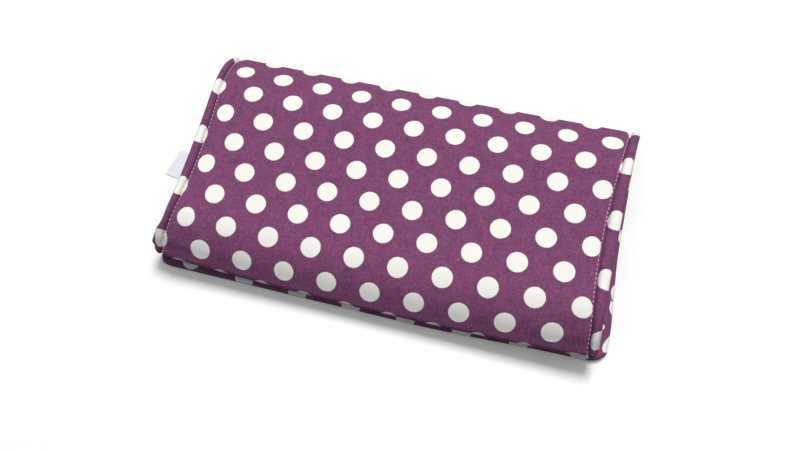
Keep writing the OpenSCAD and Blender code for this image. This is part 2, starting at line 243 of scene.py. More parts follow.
def soften(points, leaf):
    # the ends rise with the square of x, the folded edge bows in, and the near edge keeps its own curve
    x, y, z = points[..., 0], points[..., 1], points[..., 2]
    share = (x / topHalf) ** 2
    fold = smooth(*soft["foldZone"], y)
    near = smooth(*soft[leaf + "Zone"], y)
    if leaf == "top":
        lift = soft["leafShare"] + (1 - soft["leafShare"]) * smooth(leafHeight, soft["bulgeHeight"], z)
        lift = np.maximum(lift, soft["nearShare"] * near)
        pull = soft["topEdgeBow"] * share - soft["topEdgeOut"]
    else:
        lift = 0
        pull = soft["bottomEdgeIn"] + soft["bottomEdgeBow"] * smooth(*soft["bottomBowZone"], x)
    left, right = cornerPull(x, *soft[leaf + "Left"]), cornerPull(x, *soft[leaf + "Right"])
    pull = pull + np.where(x < 0, left, right)
    lift = lift * (1 - fold) + np.clip(z / closedHeight, 0, 1) * fold
    draw = soft["foldPull"] + soft["foldBow"] * share
    draw = draw + cornerPull(np.minimum(x, 0), *soft["foldCorner"])
    y = y - fold * draw + near * pull
    return np.stack([x, y, z + soft["rise"] * share * lift], -1)


# Meshes


def newMesh(name, points, faces, cloth=None, sharp=50):
    # faces is an array of vertex numbers, one row a face; cloth gives each vertex its place on the cloth,
    # which the piece's UV map holds in mm
    mesh = bpy.data.meshes.new(name)
    corners = faces.shape[1]
    mesh.vertices.add(len(points))
    mesh.vertices.foreach_set("co", points.astype(np.float32).ravel())
    mesh.loops.add(faces.size)
    mesh.loops.foreach_set("vertex_index", faces.astype(np.int32).ravel())
    mesh.polygons.add(len(faces))
    mesh.polygons.foreach_set("loop_start", np.arange(0, faces.size, corners, dtype=np.int32))
    mesh.polygons.foreach_set("use_smooth", np.ones(len(faces), bool))
    mesh.update(calc_edges=True)
    if cloth is not None:
        layer = mesh.uv_layers.new(name="cloth")
        layer.data.foreach_set("uv", (cloth[faces.ravel()] / mm).astype(np.float32).ravel())
    mesh.set_sharp_from_angle(angle=math.radians(sharp))
    piece = bpy.data.objects.new(name, mesh)
    bpy.context.collection.objects.link(piece)
    return piece


def skinRing(outer, inner):
    # each row runs out over the face and back along the back
    return np.concatenate([outer, inner[:, ::-1]], 1)


def skinFaces(rows, columns):
    # the faces of two grids, joined along their four edges into one closed skin
    index = np.arange(2 * rows * columns).reshape(rows, 2 * columns)
    after = np.roll(index, -1, 1)
    sides = np.stack([index[:-1], index[1:], after[1:], after[:-1]], -1).reshape(-1, 4)
    out, back = index[:, :columns], index[:, columns:][:, ::-1]
    last = np.stack([out[-1, :-1], back[-1, :-1], back[-1, 1:], out[-1, 1:]], -1)
    first = np.stack([out[0, 1:], back[0, 1:], back[0, :-1], out[0, :-1]], -1)
    return np.concatenate([sides, first, last])


def closedGrid(name, outer, inner, cloth):
    # one closed piece of cloth between two grids of n rows and m columns
    ring, place = skinRing(outer, inner), skinRing(cloth, cloth)
    return newMesh(name, ring.reshape(-1, 3), skinFaces(*outer.shape[:2]), place.reshape(-1, 2))


def dress(piece, material):
    piece.data.materials.append(material)
    return piece


def toSpace(line, profile):
    # a profile of (x, depth) at every point of a line, set out along the line's normals
    base = line["points"][:, None, :] - line["normals"][:, None, :] * profile[..., 1:2]
    return np.concatenate([profile[..., :1], base], -1)


def inset(profile, thick):
    # each profile moved into the cloth by its thickness
    way = np.gradient(profile, axis=1)
    way = way / np.linalg.norm(way, axis=-1, keepdims=True)
    return profile + thick * np.stack([-way[..., 1], way[..., 0]], -1)


def curveWeights(count, perSpan):
    # Catmull-Rom weights that carry count control points to perSpan points in each span
    ends = np.clip(np.arange(-1, count + 1), 0, count - 1)
    rows = []
    s = np.linspace(0, 1, perSpan, endpoint=False)
    shares = np.stack([
        -0.5 * s + s**2 - 0.5 * s**3,
        1 - 2.5 * s**2 + 1.5 * s**3,
        0.5 * s + 2 * s**2 - 1.5 * s**3,
        -0.5 * s**2 + 0.5 * s**3,
    ], 1)
    for span in range(count - 1):
        block = np.zeros((perSpan, count))
        for k in range(4):
            block[:, ends[span + k]] += shares[:, k]
        rows.append(block)
    rows.append(np.eye(count)[-1:])
    return np.concatenate(rows)


def clothPlace(profile, along):
    # length across the cloth, measured along the profile from the middle, and length along the line
    steps = np.linalg.norm(np.diff(profile, axis=1), axis=-1)
    across = np.concatenate([np.zeros((len(steps), 1)), np.cumsum(steps, 1)], 1)
    middle = across.shape[1] // 2
    across = across - across[:, middle:middle + 1] + profile[:, middle:middle + 1, 0]
    return np.stack([across, np.repeat(along[:, None], across.shape[1], 1)], -1)


def clothSize(cloth):
    return (float(np.ptp(cloth[..., 0])), float(np.ptp(cloth[..., 1])))


# Materials


def paint(red, green, blue):
    # an sRGB colour, 0 to 255, as Blender's linear one
    share = [value / 255 for value in (red, green, blue)]
    return (*(s / 12.92 if s < 0.04045 else ((s + 0.055) / 1.055) ** 2.4 for s in share), 1)


class Wire:
    # one socket of a shader tree, which can be used in sums

    def __init__(self, tree, socket=None):
        self.tree, self.socket = tree, socket

    def node(self, kind, settings=None, inputs=None, out=0):
        made = self.tree.nodes.new(kind)
        for key, value in (settings or {}).items():
            setattr(made, key, value)
        for key, value in (inputs or {}).items():
            if isinstance(value, Wire):
                self.tree.links.new(value.socket, made.inputs[key])
            else:
                made.inputs[key].default_value = value
        if out is None:
            return None
        if isinstance(out, tuple):
            return [Wire(self.tree, made.outputs[o]) for o in out]
        return Wire(self.tree, made.outputs[out])

    def maths(self, operation, *others):
        return self.node("ShaderNodeMath", dict(operation=operation), dict(enumerate((self, *others))))

    def __add__(self, other):
        return self.maths("ADD", other)

    def __sub__(self, other):
        return self.maths("SUBTRACT", other)

    def __rsub__(self, other):
        return self.node("ShaderNodeMath", dict(operation="SUBTRACT"), {0: other, 1: self})

    def __mul__(self, other):
        return self.maths("MULTIPLY", other)

    def __truediv__(self, other):
        return self.maths("DIVIDE", other)

    __radd__, __rmul__ = __add__, __mul__

    def ramp(self, low, high):
        # 0 below low, 1 above high, smooth between
        inputs = {0: self, 1: low, 2: high, 3: 0.0, 4: 1.0}
        return self.node("ShaderNodeMapRange", dict(interpolation_type="SMOOTHSTEP"), inputs)

    def blendColours(self, low, high):
        # from low at 0 to high at 1; sockets 6, 7 and 2 are those of the colours
        return self.node("ShaderNodeMix", dict(data_type="RGBA"), {0: self, 6: low, 7: high}, 2)

    def tint(self, colour):
        # the colour made lighter or darker by this value
        return self.node("ShaderNodeVectorMath", dict(operation="SCALE"), {0: colour[:3], 3: self})

    def noise(self, scale, detail=2.0, roughness=0.5):
        inputs = {"Vector": self, "Scale": scale, "Detail": detail, "Roughness": roughness}
        return self.node("ShaderNodeTexNoise", {}, inputs)


def plane(across, along):
    # two lengths as one vector
    return across.node("ShaderNodeCombineXYZ", {}, {0: across, 1: along})


def newMaterial(name):
    material = bpy.data.materials.new(name)
    material.use_nodes = True
    material.node_tree.nodes.clear()
    return material, Wire(material.node_tree)


def finishMaterial(wire, inputs):
    shader = wire.node("ShaderNodeBsdfPrincipled", {}, inputs)
    wire.node("ShaderNodeOutputMaterial", {}, {0: shader}, None)


# The print: its colours, and the places and size of its dots on the cloth in mm
printed = dict(
    ground=paint(129, 72, 110),
    lining=paint(112, 62, 97),
    dot=paint(254, 250, 237),
    halfAcross=9.45,
    halfAlong=12.83,
    firstRow=1.5,
    radius=4.32,
    edge=0.16,
    raggedScale=1.6,
    ragged=0.35,
)

# The cotton under the print: its yarns, and what makes its tone uneven
woven = dict(
    thread=0.42,
    waverScale=0.35,
    waver=1.1,
    yarnAcross=2.6,
    yarnAlong=0.16,
    yarnTone=0.65,
    weaveTone=0.05,
    # scale, roughness and strength of each mottle
    mottles=((0.22, 0.6, 0.65), (0.95, 0.75, 1.6)),
    # a short pale fibre here and there
    lintAcross=0.13,
    lintAlong=0.09,
    lintEdge=(0.018, 0.036),
    lintShare=0.3,
    lint=(0.8, 0.78, 0.78, 1),
    # share of the tone that the dots keep
    dotYarn=0.05,
    dotWeave=0.02,
    bumpDeep=0.00012,
)


def weaveOf(across, along):
    # height of a plain weave and of its uneven yarns, from lengths on the cloth in mm
    turn = 2 * math.pi / woven["thread"]
    wobble = plane(across, along).noise(woven["waverScale"], 1.0) * woven["waver"]
    warp = ((across + wobble) * turn).maths("SINE")
    weft = ((along + wobble) * turn).maths("SINE")
    yarnsAlong = plane(across * woven["yarnAcross"], along * woven["yarnAlong"]).noise(1.0, 3.0)
    yarnsAcross = plane(across * woven["yarnAlong"], along * woven["yarnAcross"]).noise(1.0, 3.0)
    return warp * weft, yarnsAlong + yarnsAcross - 1.0


def dotsOf(across, along):
    # 1 inside the dots of two crossed grids, 0 outside
    def toNearest(value, period):
        return value - (value / period).maths("ROUND") * period

    wide, tall = 2 * printed["halfAcross"], 2 * printed["halfAlong"]
    distances = []
    for shiftAcross, shiftAlong in ((0.5 * wide, 0.0), (0.0, 0.5 * tall)):
        du = toNearest(across - shiftAcross, wide)
        dv = toNearest(along - (printed["firstRow"] * printed["halfAlong"] - shiftAlong), tall)
        distances.append((du * du + dv * dv).maths("SQRT"))
    ragged = plane(across, along).noise(printed["raggedScale"]) - 0.5
    nearest = distances[0].maths("MINIMUM", distances[1]) + ragged * printed["ragged"]
    return 1 - nearest.ramp(printed["radius"] - printed["edge"], printed["radius"] + printed["edge"])


def cotton(name, ground, dotted):
    material, start = newMaterial(name)
    place = start.node("ShaderNodeUVMap", dict(uv_map="cloth"))
    across, along = place.node("ShaderNodeSeparateXYZ", {}, {0: place}, (0, 1))
    weave, yarns = weaveOf(across, along)
    tone = 1 + yarns * woven["yarnTone"] + weave * woven["weaveTone"]
    for scale, roughness, strength in woven["mottles"]:
        tone = tone + (place.noise(scale, 3.0, roughness) - 0.5) * strength
    colour = tone.tint(ground)
    bent = plane(across * woven["lintAcross"], along * woven["lintAlong"])
    fibre = bent.node("ShaderNodeTexVoronoi", {}, {"Vector": bent, "Scale": 1.0})
    lint = (1 - fibre.ramp(*woven["lintEdge"])) * woven["lintShare"]
    colour = lint.blendColours(colour, woven["lint"])
    if dotted:
        white = (1 + yarns * woven["dotYarn"] + weave * woven["dotWeave"]).tint(printed["dot"])
        colour = dotsOf(across, along).blendColours(colour, white)
    bump = start.node("ShaderNodeBump", {}, {
        "Strength": 0.5,
        "Distance": woven["bumpDeep"],
        "Height": weave * 0.35 + yarns * 0.9,
    })
    finishMaterial(start, {
        "Base Color": colour,
        "Roughness": 0.88,
        "Specular IOR Level": 0.22,
        "Sheen Weight": 0.05,
        "Sheen Roughness": 0.5,
        "Normal": bump,
    })
    return material


def plainMaterial(name, colour, roughness, grain, depth=0.0001, spread=0.12, metallic=0.0):
    # a colour with fine grain on Object coordinates
    material, start = newMaterial(name)
    place = start.node("ShaderNodeTexCoord", {}, {}, "Object")
    grainy = place.noise(grain, 3.0, 0.6) - 0.5
    bump = start.node("ShaderNodeBump", {}, {"Strength": 0.4, "Distance": depth, "Height": grainy})
    finishMaterial(start, {
        "Base Color": (1 + grainy * spread).tint(colour),
        "Roughness": roughness + grainy * 0.15,
        "Metallic": metallic,
        "Specular IOR Level": 0.4,
        "Normal": bump,
    })
    return material


def ribbed(name, colour, rib, slant, depth, spread, roughness=0.7):
    # a narrow woven band: ribs across it, or slanted ones for a twill, on its own cloth lengths in mm
    material, start = newMaterial(name)
    place = start.node("ShaderNodeUVMap", dict(uv_map="cloth"))
    across, along = place.node("ShaderNodeSeparateXYZ", {}, {0: place}, (0, 1))
    wave = ((along + across * slant) * (2 * math.pi / rib)).maths("SINE")
    uneven = place.noise(0.7, 3.0, 0.6) - 0.5
    bump = start.node("ShaderNodeBump", {}, {"Strength": 0.5, "Distance": depth, "Height": wave + uneven})
    finishMaterial(start, {
        "Base Color": (1 + wave * 0.5 * spread + uneven * spread).tint(colour),
        "Roughness": roughness,
        "Specular IOR Level": 0.3,
        "Normal": bump,
    })
    return material


bareMetal = dict(depth=0.00002, spread=0.06, metallic=1.0)
dottedCotton = cotton("dotted_cotton", printed["ground"], True)
liningCotton = cotton("lining_cotton", printed["lining"], False)
fleece = plainMaterial("fleece", paint(236, 233, 224), 0.95, 900.0, depth=0.0003)
thread = plainMaterial("lilac_thread", paint(226, 194, 216), 0.6, 1500.0)
zinc = plainMaterial("bright_zinc", paint(205, 204, 200), 0.3, 700.0, **bareMetal)
steel = plainMaterial("magnet_steel", paint(190, 190, 190), 0.35, 600.0, **bareMetal)
ribbonCloth = ribbed("white_ribbon", paint(238, 234, 235), 0.32, 0.0, 0.00004, 0.06, 0.62)
twill = ribbed("zip_twill", paint(112, 66, 98), 0.5, 1.0, 0.00006, 0.25)


# The cover of the top leaf and the upper half of the spine, with its rolled hems

hem = dict(
    # distances of the stitches and the ends from the middle, at five places from the fold to the near edge
    places=(50 * mm, 27 * mm, -2 * mm, -28 * mm, -46 * mm),
    stitchLeft=(92.8 * mm, 90.6 * mm, 88.8 * mm, 89.8 * mm, 92.4 * mm),
    stitchRight=(92.0 * mm, 89.3 * mm, 87.8 * mm, 88.5 * mm, 90.5 * mm),
    endLeft=(97.6 * mm, 94.6 * mm, 93.5 * mm, 93.6 * mm, 95.6 * mm),
    endRight=(96.7 * mm, 94.8 * mm, 94.0 * mm, 93.8 * mm, 94.8 * mm),
    # the left end flares towards its near corner, and is drawn in round the fold
    flare=3.2 * mm,
    flareZone=(-34 * mm, -49 * mm),
    foldDraw=3 * mm,
    drawZone=(50 * mm, 57 * mm),
    # how the print has crept inwards at an end: from where, how far at most, less a share of the stitches'
    # way out, and less a slip at the near corner
    creepLeft=(76 * mm, 1.85 * mm, 0.25, 1.8 * mm),
    creepRight=(79.5 * mm, 0.8 * mm, 0.4, 1.4 * mm),
    slipZone=(-34 * mm, -43 * mm),
    middleColumns=81,
    perSpan=3,
    # offset from the stitches and depth below the cover's face, from the face to the tucked end
    shape=[
        (-7, 0), (-3.7, 0.02), (-1.9, 0.13), (-0.8, 0.42), (0, 0.9), (0.32, 1.45),
        (0.62, 1.55), (0.86, 0.9), (1.15, 0.2), (1.8, -0.36), (2.8, -0.52), (3.8, -0.15),
        (4.5, 0.6), (4.65, 1.35), (4.2, 2.0), (3.1, 2.45), (1.2, 2.6),
    ],
)

# The bound ends of the bottom leaf, in the same order of points
bound = dict(
    stitch=94.4 * mm,
    end=bottomHalf,
    # the ends spread towards the near corners
    spreadLeft=(0.4 * mm, 20 * mm, -40 * mm),
    spreadRight=(2.1 * mm, 4 * mm, -37 * mm),
    # the height over which they turn into hems round the fold
    fadeZone=(6 * mm, 0.5 * mm),
    # the strip's print: places of two dots and of the join between them, and where a row lies on the left
    farDot=-16.5 * mm,
    join=-20.1 * mm,
    nearDot=-23.2 * mm,
    nextDot=-46.2 * mm,
    leftDot=-26.5 * mm,
    dotDrop=2 * mm,
    dotDropNear=1.3 * mm,
    dropZone=(-30 * mm, -40 * mm),
    joinDepth=0.5 * mm,
    joinHalf=0.85 * mm,
    joinSoft=0.4 * mm,
    shape=[
        (-6.3, 0), (-3.5, 0), (-1.7, 0), (-0.7, 0.1), (0, 0.2), (0.5, 0.1), (0.8, 0.03), (1.1, 0), (1.8, 0),
        (2.6, 0.25), (3.2, 0.65), (3.5, 1.1), (3.6, 1.5), (3.35, 2.25), (2.6, 2.8), (1.3, 3.05), (-0.3, 3.05),
    ],
)


def bowed(values, y):
    # the one smooth curve through the five distances: each times the product of (y - other) / (own - other)
    places = hem["places"]
    y = np.clip(y, places[-1] - 3 * mm, places[0] + 5 * mm)
    total = 0
    for k, value in enumerate(values):
        weight = 1
        for j, place in enumerate(places):
            if j != k:
                weight = weight * (y - place) / (places[k] - place)
        total = total + value * weight
    return total


def hemStitch(y, side):
    return bowed(hem["stitchLeft" if side < 0 else "stitchRight"], y)


def hemEnd(y, side):
    if side > 0:
        return bowed(hem["endRight"], y)
    end = bowed(hem["endLeft"], y) - hem["foldDraw"] * smooth(*hem["drawZone"], y)
    return end + hem["flare"] * smooth(*hem["flareZone"], y)


def narrowStitch(y):
    return np.minimum(hemStitch(y, -1), hemStitch(y, 1))


def boundEnd(y, side):
    # the end plus its spread; at the right the strip dips where it is joined
    spread, start, stop = bound["spreadLeft" if side < 0 else "spreadRight"]
    end = bound["end"] + spread * smooth(start, stop, y)
    if side < 0:
        return end
    reach = np.abs(y - bound["join"]) - bound["joinHalf"]
    return end - bound["joinDepth"] * np.exp(-(reach / bound["joinSoft"]) ** 2)


def stitchPoint(shape):
    # number of the control point on the stitches
    return [point[0] for point in shape].index(0)


def edgeCurve(shape, stitch, end):
    # the rolled edge as control points (x, depth); what lies past the stitches is fitted to the end
    shape = np.array(shape) * mm
    past = shape[:, 0] > 0
    fit = np.where(past[None], (end - stitch)[:, None] / shape[:, 0].max(), 1)
    x = stitch[:, None] + shape[None, :, 0] * fit
    return np.stack([x, np.repeat(shape[None, :, 1], len(stitch), 0)], -1)


def bandProfile(leftPoints, rightPoints):
    # left edge, plain middle and right edge as one profile (x, depth) for each point of the line
    weights = curveWeights(leftPoints.shape[1], hem["perSpan"])
    left = np.einsum("kc,ncd->nkd", weights, leftPoints)
    right = np.einsum("kc,ncd->nkd", weights, rightPoints)
    left = left[:, ::-1] * np.array([-1, 1])
    share = np.linspace(0, 1, hem["middleColumns"])[1:-1]
    middle = left[:, -1:] * (1 - share[None, :, None]) + right[:, :1] * share[None, :, None]
    return np.concatenate([left, middle, right], 1)


def topProfile(line):
    y = line["points"][:, 0]
    return bandProfile(*(edgeCurve(hem["shape"], hemStitch(y, side), hemEnd(y, side)) for side in (-1, 1)))


def bottomShare(line):
    # 1 on the bottom leaf, falling to 0 up the fold, where its bound ends turn into hems
    return smooth(*bound["fadeZone"], line["points"][:, 1])


def bottomProfile(line):
    share = bottomShare(line)[:, None, None]
    y = line["points"][:, 0]
    sides = []
    for side in (-1, 1):
        boundPoints = edgeCurve(bound["shape"], bound["stitch"] + 0 * y, boundEnd(y, side))
        hemPoints = edgeCurve(hem["shape"], hemStitch(y, side), hemEnd(y, side))
        sides.append(hemPoints * (1 - share) + boundPoints * share)
    return bandProfile(*sides)


def creep(cloth, line, profile):
    # moves the print inwards near the ends by taking up more cloth there
    y = line["points"][:, 0]
    x = profile[..., 0]
    fromMiddle = np.arange(x.shape[1]) - x.shape[1] // 2
    for side, key in ((-1, "creepLeft"), (1, "creepRight")):
        start, most, share, slip = hem[key]
        stitch = hemStitch(y, side)
        taken = most - share * (stitch - stitch.min()) - slip * smooth(*hem["slipZone"], y)
        reach = smooth(start, stitch[:, None], side * x)
        past = np.maximum.accumulate(reach[:, ::side], 1)[:, ::side]
        cloth[..., 0] += side * taken[:, None] * past * (side * fromMiddle > 0)
    return cloth


# How the print of the top leaf lies off its even rows, in mm: places along the cloth, and the shifts there
drift = dict(
    places=(-52, -49.4, -45, -32, -19, -6, 6, 19, 32, 45),
    across=(-0.3, -0.3, -0.3, -0.25, 0, 0.16, 0.25, 0.23, 0, -0.28),
    along=(-1.7, -0.1, -0.1, 0.25, 0.16, 0.13, 0, -0.06, 0, 0.16),
    nearEnds=0.5 * mm,
    nearZone=(-20 * mm, -45 * mm),
)


def driftPrint(cloth, line):
    # at the near edge the next row of dots is drawn up until it just shows
    places = np.array(drift["places"]) * mm
    for axis, key in ((0, "across"), (1, "along")):
        shift = np.interp(line["along"], places, np.array(drift[key]) * mm)
        cloth[..., axis] += shift[:, None]
    near = smooth(*drift["nearZone"], line["along"])[:, None]
    cloth[..., 1] += drift["nearEnds"] * near * (cloth[..., 0] / bodyHalf) ** 2
    return cloth


def stripPrint(cloth, line):
    # past the stitches of a bound end lies a strip of its own, whose print is centred on the outermost column
    y = line["points"][:, 0]
    share = bottomShare(line)
    row = printed["firstRow"] * printed["halfAlong"] * mm
    repeat = 2 * printed["halfAlong"] * mm
    column = (2 * round(bound["end"] / mm / printed["halfAcross"] / 2) + 1) * printed["halfAcross"] * mm
    last = len(bound["shape"]) - 1
    count = (last - stitchPoint(bound["shape"])) * hem["perSpan"]
    outermost = (last - int(np.argmax([point[0] for point in bound["shape"]]))) * hem["perSpan"]
    dotReach = (printed["radius"] + 0.2) * mm
    nextDot, nearDot, join = bound["nextDot"], bound["nearDot"], bound["join"]
    places = (nextDot - 2 * dotReach, nextDot + dotReach, nearDot - dotReach, join)
    marks = (-2 * dotReach, dotReach, repeat - dotReach, repeat + join - nearDot)
    rightPlace = np.where(y < join, np.interp(y, places, marks), y - bound["farDot"])
    drop = bound["dotDrop"] + (bound["dotDropNear"] - bound["dotDrop"]) * smooth(*bound["dropZone"], y)
    strips = (
        (-1, slice(0, count), outermost, y - bound["leftDot"]),
        (1, slice(-count, None), cloth.shape[1] - 1 - outermost, rightPlace),
    )
    for side, columns, rim, along in strips:
        shift = (side * (column + drop) - cloth[:, rim, 0]) * share
        cloth[:, columns, 0] += shift[:, None]
        cloth[:, columns, 1] += ((row + along - line["along"]) * share)[:, None]
    return cloth


def coverSpace(line, profile, leaf, thick=0.0):
    # the cover's face, or its back when thick is given; the near ends of the bottom leaf's rolled edges
    # close like the end of a flat tube: depth shrinks to the middle by the cosine of the edge's turn
    points = toSpace(line, profile)
    if leaf == "bottom":
        radius = section["bottomEdgeRadius"]
        edge = line["points"][:, 0] < -bottomNear + radius
        sine, cosine = -line["normals"][edge, 0][:, None], -line["normals"][edge, 1][:, None]
        points[edge, :, 1] = -bottomNear + radius - (radius - thick) * sine
        points[edge, :, 2] = radius + (profile[edge, :, 1] - radius) * cosine
    return soften(points, leaf)


def coverFaces(line, profile, leaf):
    # the face and the back of a cover
    thick = layers["coverThick"]
    return coverSpace(line, profile, leaf), coverSpace(line, inset(profile, thick), leaf, thick)


def makeCover(name, line, profile, leaf):
    # one closed piece between the face and the back, with the print laid on the length of its cloth
    cloth = creep(clothPlace(profile, line["along"]), line, profile)
    size = clothSize(cloth)
    cloth = stripPrint(cloth, line) if leaf == "bottom" else driftPrint(cloth, line)
    piece = closedGrid(name, *coverFaces(line, profile, leaf), cloth)
    return dress(piece, dottedCotton), size


topCover, size = makeCover("upper_cover_cloth", top, topProfile(top), "top")
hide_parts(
    "top_cover", "top_hem_left", "top_hem_right", "spine_cover", "spine_hem_left", "spine_hem_right"
)
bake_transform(topCover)
print("upper cover")

bottomCover, size = makeCover("lower_cover_cloth", bottom, bottomProfile(bottom), "bottom")
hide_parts("bottom_cover", "bottom_bound_left", "bottom_bound_right")
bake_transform(bottomCover)
print("lower cover")


# Padding and linings follow the same outlines further in


def makeLayer(name, line, half, depth, thick, leaf):
    # a plain band between two depths, with rounded ends; half is its half length at every point of the line
    share = np.linspace(-1, 1, layers["columns"])
    rim = np.sqrt(1 - np.clip((np.abs(share) - layers["rimFrom"]) / layers["rimReach"], 0, 1) ** 2)
    x = half[:, None] * share[None]
    middle = depth + thick / 2
    outer = np.stack([x, middle - thick / 2 * rim + 0 * x], -1)
    inner = np.stack([x, middle + thick / 2 * rim + 0 * x], -1)
    cloth = clothPlace(outer, line["along"])
    piece = closedGrid(name, soften(toSpace(line, outer), leaf), soften(toSpace(line, inner), leaf), cloth)
    return piece, clothSize(cloth)


def makeUpperInside():
    # the padding and lining follow the top line down to the end of the shoulder
    shoulderEnd = shoulderCentre[0] - section["shoulderRadius"] * math.sin(shoulderTurn)
    stop = np.argmax(top["points"][:, 0] < shoulderEnd)
    line = cutLine(top, np.arange(len(top["along"])) < stop)
    narrow = narrowStitch(line["points"][:, 0])

    half = narrow - layers["fleeceIn"]
    padding = makeLayer("upper_padding", line, half, layers["fleeceDepth"], layers["fleeceThick"], "top")[0]
    dress(padding, fleece)
    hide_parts("top_fleece", "spine_fleece")
    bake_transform(padding)

    half = narrow + layers["liningOut"]
    depth, thick = layers["liningDepth"], layers["liningThick"]
    lining, size = makeLayer("upper_lining_cloth", line, half, depth, thick, "top")
    dress(lining, liningCotton)
    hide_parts("top_lining", "spine_lining")
    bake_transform(lining)


def makeLowerPadding():
    narrow = narrowStitch(bottom["points"][:, 0]) - layers["fleeceIn"]
    half = narrow + (bound["stitch"] - layers["fleeceInBound"] - narrow) * bottomShare(bottom)
    depth = layers["fleeceDepth"] - layers["lowerFleeceUp"]
    padding = makeLayer("lower_padding", bottom, half, depth, layers["fleeceThick"], "bottom")[0]
    dress(padding, fleece)
    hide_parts("bottom_fleece")
    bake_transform(padding)


# The lining of the bottom leaf is cut across the cloth, so its rows of dots run along the wallet

crossCut = dict(
    rowY=-49 * mm,
    rowLiftLeft=(3.4 * mm, -48 * mm, -85 * mm),
    rowLiftRight=(1.6 * mm, 45 * mm, 90 * mm),
    # places of the dots along the near edge in mm, and which of them lies on the first row
    dots=(-109, -83.3, -57.3, -32.4, -8.05, 16.2, 40.5, 64.3, 89.3, 114),
    firstDot=4,
)


def crossPlace(x, y):
    # across the cloth runs along Y and along it runs along X; the row of dots turns in at the two ends
    dots = np.array(crossCut["dots"]) * mm
    rows = np.interp(x, dots, np.arange(len(dots)) - crossCut["firstDot"])
    lift = 0
    for most, start, stop in (crossCut["rowLiftLeft"], crossCut["rowLiftRight"]):
        lift = lift + most * smooth(start, stop, x)
    across = y - crossCut["rowY"] - lift + printed["halfAcross"] * mm
    along = (printed["firstRow"] + 2 * rows) * printed["halfAlong"] * mm
    return np.stack([across + 0 * x, along + 0 * y], -1)


def liningLine():
    # the lining's own face, which comes down round the near edge to meet the cover
    depth = layers["liningDepth"] + layers["liningThick"]
    radius = section["bottomEdgeRadius"]
    centre = (-bottomNear + radius, depth - radius)
    line = joinRuns([
        arcRun(foldCentre, foldRadius - depth, section["seamAngle"], -90),
        straightRun((foldCentre[0], depth), (centre[0], depth), 1.2 * mm),
        arcRun(centre, radius, 90, 180, 0.3 * mm),
    ])
    inFold = line["points"][:, 0] > foldCentre[0] - 0.01 * mm
    line["normals"][inFold] *= -1
    return line


def makeLowerLining():
    line = liningLine()
    narrow = narrowStitch(50 * mm) + layers["liningOut"]
    half = narrow + (bound["stitch"] + layers["liningOutBound"] - narrow) * bottomShare(line)
    x = half[:, None] * np.linspace(-1, 1, 121)[None]
    outer = soften(toSpace(line, np.stack([x, 0 * x], -1)), "bottom")
    inner = soften(toSpace(line, np.stack([x, 0 * x + layers["liningThick"]], -1)), "bottom")
    cloth = crossPlace(outer[..., 0], line["along"][:, None] - line["along"][-1] - bottomNear)
    lining = dress(closedGrid("lower_lining_cloth", outer, inner, cloth), dottedCotton)
    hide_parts("bottom_lining")
    area = float(np.ptp(cloth[..., 0]) * 2 * half.mean())
    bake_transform(lining)


makeUpperInside()
makeLowerPadding()
makeLowerLining()
print("linings and padding")


# Flat cloth pieces


def edgeSpaced(start, stop, rim, spacing):
    # places from start to stop, close together within a rim at both ends
    close = rim * np.array([0, 0.15, 0.4, 0.75])
    way = 1 if stop > start else -1
    inner = np.linspace(start + way * rim, stop - way * rim, max(3, int(abs(stop - start) / spacing)))
    return np.concatenate([start + way * close, inner, stop - way * close[::-1]])


def rimOf(places, rim):
    # how far a rounded edge has opened: a quarter of an ellipse from each end
    near = np.minimum(np.abs(places - places[0]), np.abs(places - places[-1]))
    share = np.clip(near / rim, 0, 1)
    return np.sqrt(1 - (1 - share) ** 2)


turned = dict(width=8.5 * mm, height=0.17 * mm, edge=0.5 * mm, rim=0.45 * mm, seamReach=5 * mm)


def makeSlab(node, half, leaf, cross, swell=0.0, seams=(), face=1):
    # a flat piece of cloth with rounded edges and a turned hem along its far edge, which shows on its face;
    # half(y) gives its left and right end, and swell lifts it between its seams
    low, high = lowOf(node), highOf(node)
    thick = high[2] - low[2]
    rim = turned["rim"]
    y = edgeSpaced(high[1], low[1], rim, 0.8 * mm)
    share = edgeSpaced(-1, 1, rim / topHalf, 0.014)
    left, right = half(y)
    x = np.where(share[None] < 0, share[None] * left[:, None], share[None] * right[:, None])
    opened = np.maximum(rimOf(y, rim)[:, None] * rimOf(share, rim / topHalf)[None], 0.25)
    lift = np.ones_like(x)
    for seam in seams:
        lift = lift * (1 - np.exp(-((x - seam) / turned["seamReach"]) ** 2))
    lift = lift * (1 - share[None] ** 8) * np.sin(np.pi * (y - y.min()) / np.ptp(y))[:, None]
    middle = high[2] - thick / 2 + swell * lift
    rows = y[:, None] + 0 * x
    hemStart = high[1] - turned["width"]
    step = turned["height"] * smooth(hemStart - turned["edge"], hemStart, rows) * opened
    outer = soften(np.stack([x, rows, middle + thick / 2 * opened + (step if face > 0 else 0)], -1), leaf)
    inner = soften(np.stack([x, rows, middle - thick / 2 * opened - (step if face < 0 else 0)], -1), leaf)
    cloth = crossPlace(x, rows) if cross else np.stack([x, rows], -1)
    piece = closedGrid(f"{node}_cloth", outer, inner, cloth)
    dress(piece, dottedCotton if cross else liningCotton)
    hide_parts(node)
    return piece, (float(np.ptp(x)), abs(high[1] - low[1]))


pockets = dict(
    nodes=("note_pocket", "card_tier_4", "card_tier_3", "card_tier_2", "card_tier_1"),
    dotted=("card_tier_3", "card_tier_1"),
    swell=0.18 * mm,
    seams=(0.0,),
    drawn=0.9 * mm,
    drawZone=(20 * mm, -40 * mm),
)


def pocketHalf(y):
    half = highOf("card_tier_1")[0]
    return half - pockets["drawn"] * smooth(*pockets["drawZone"], y), half + 0 * y


